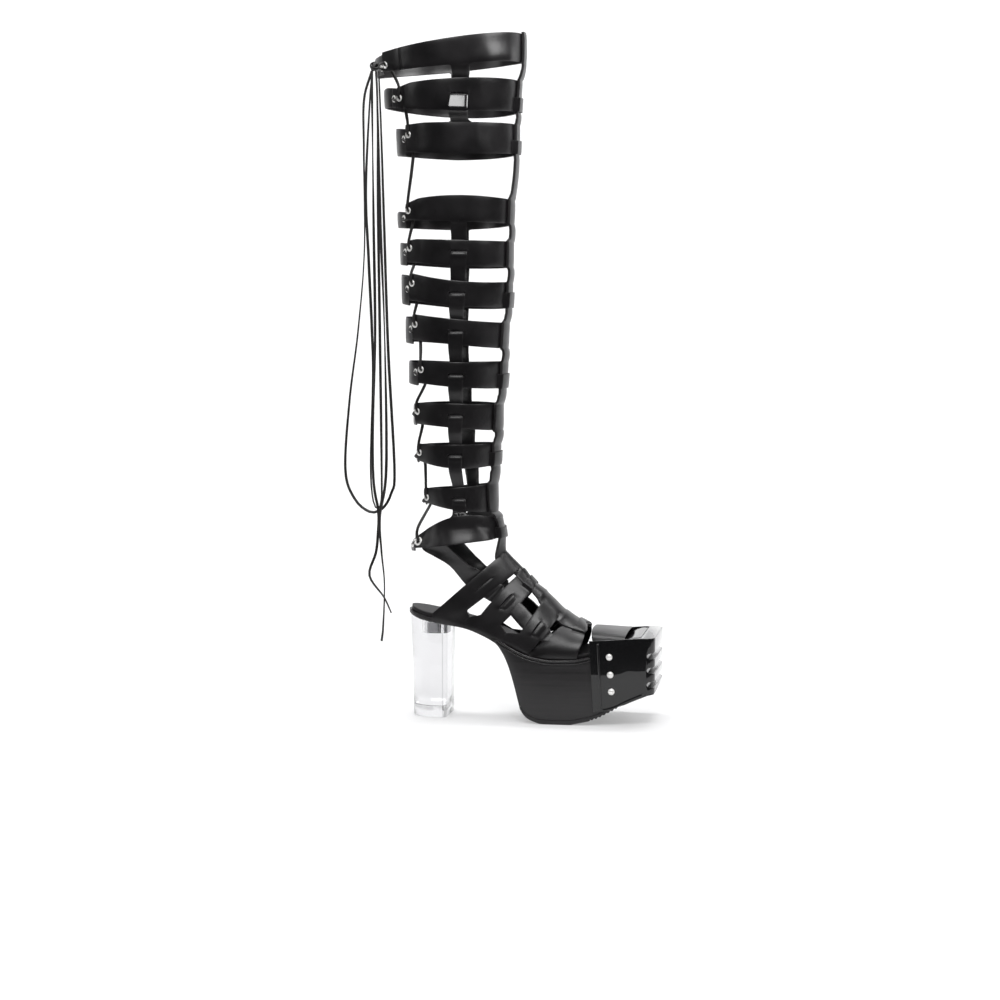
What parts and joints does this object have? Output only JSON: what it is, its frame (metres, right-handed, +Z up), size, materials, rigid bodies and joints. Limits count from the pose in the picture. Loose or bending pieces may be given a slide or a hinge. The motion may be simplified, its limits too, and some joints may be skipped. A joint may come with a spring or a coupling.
{
  "type": "thigh-high cage sandal boot",
  "caption": "Thigh-high platform sandal boot: leather straps round the leg joined by straps, laced at the back, on a clear block heel with a glossy toe guard.",
  "frame": {"origin": "centre of the heel lift's flat base, on the floor", "axes": "+Z up along the shaft, +X towards the toes, +Y towards the inner side of the leg"},
  "size_m": [0.3165, 0.1511, 0.7124],
  "materials": {
    "leather": "smooth semi-gloss grain",
    "lace_leather": "matt cut leather lace",
    "footbed": "smooth gloss",
    "platform_cover": "smooth satin",
    "patent": "high gloss",
    "rubber": "matt",
    "clear_plastic": "clear polished acrylic",
    "steel": "polished",
    "nickel": "polished nickel"
  },
  "bodies": {
    "root": {"band_02": "leather", "band_05": "leather", "band_06": "leather", "band_07": "leather", "band_08": "leather", "band_09": "leather", "band_10": "leather", "band_11": "leather", "band_12": "leather", "calf_cage": "leather", "eyelet_01_inner": "nickel", "eyelet_01_outer": "nickel", "eyelet_02_inner": "nickel", "eyelet_02_outer": "nickel", "eyelet_03_inner": "nickel", "eyelet_03_outer": "nickel", "eyelet_04_inner": "nickel", "eyelet_04_outer": "nickel", "eyelet_05_inner": "nickel", "eyelet_05_outer": "nickel", "eyelet_06_inner": "nickel", "eyelet_06_outer": "nickel", "eyelet_07_inner": "nickel", "eyelet_07_outer": "nickel", "eyelet_08_inner": "nickel", "eyelet_08_outer": "nickel", "eyelet_09_inner": "nickel", "eyelet_09_outer": "nickel", "eyelet_10_inner": "nickel", "eyelet_10_outer": "nickel", "eyelet_11_inner": "nickel", "eyelet_11_outer": "nickel", "eyelet_12_inner": "nickel", "eyelet_12_outer": "nickel", "foot_cage": "leather", "front_spine": "leather", "guard_rivet_1": "steel", "guard_rivet_2": "steel", "guard_rivet_3": "steel", "guard_rivet_4": "steel", "guard_rivet_5": "steel", "guard_rivet_6": "steel", "heel_block": "clear_plastic", "heel_lift": "clear_plastic", "heel_screw": "steel", "insole": "footbed", "lace_crossings": "lace_leather", "lace_end_1": "lace_leather", "lace_end_2": "lace_leather", "lace_knot": "lace_leather", "lace_loop_1": "lace_leather", "lace_loop_2": "lace_leather", "outsole": "rubber", "platform": "platform_cover", "thigh_cage": "leather", "toe_guard": "patent", "toe_strap": "leather"}
  },
  "joints": []
}
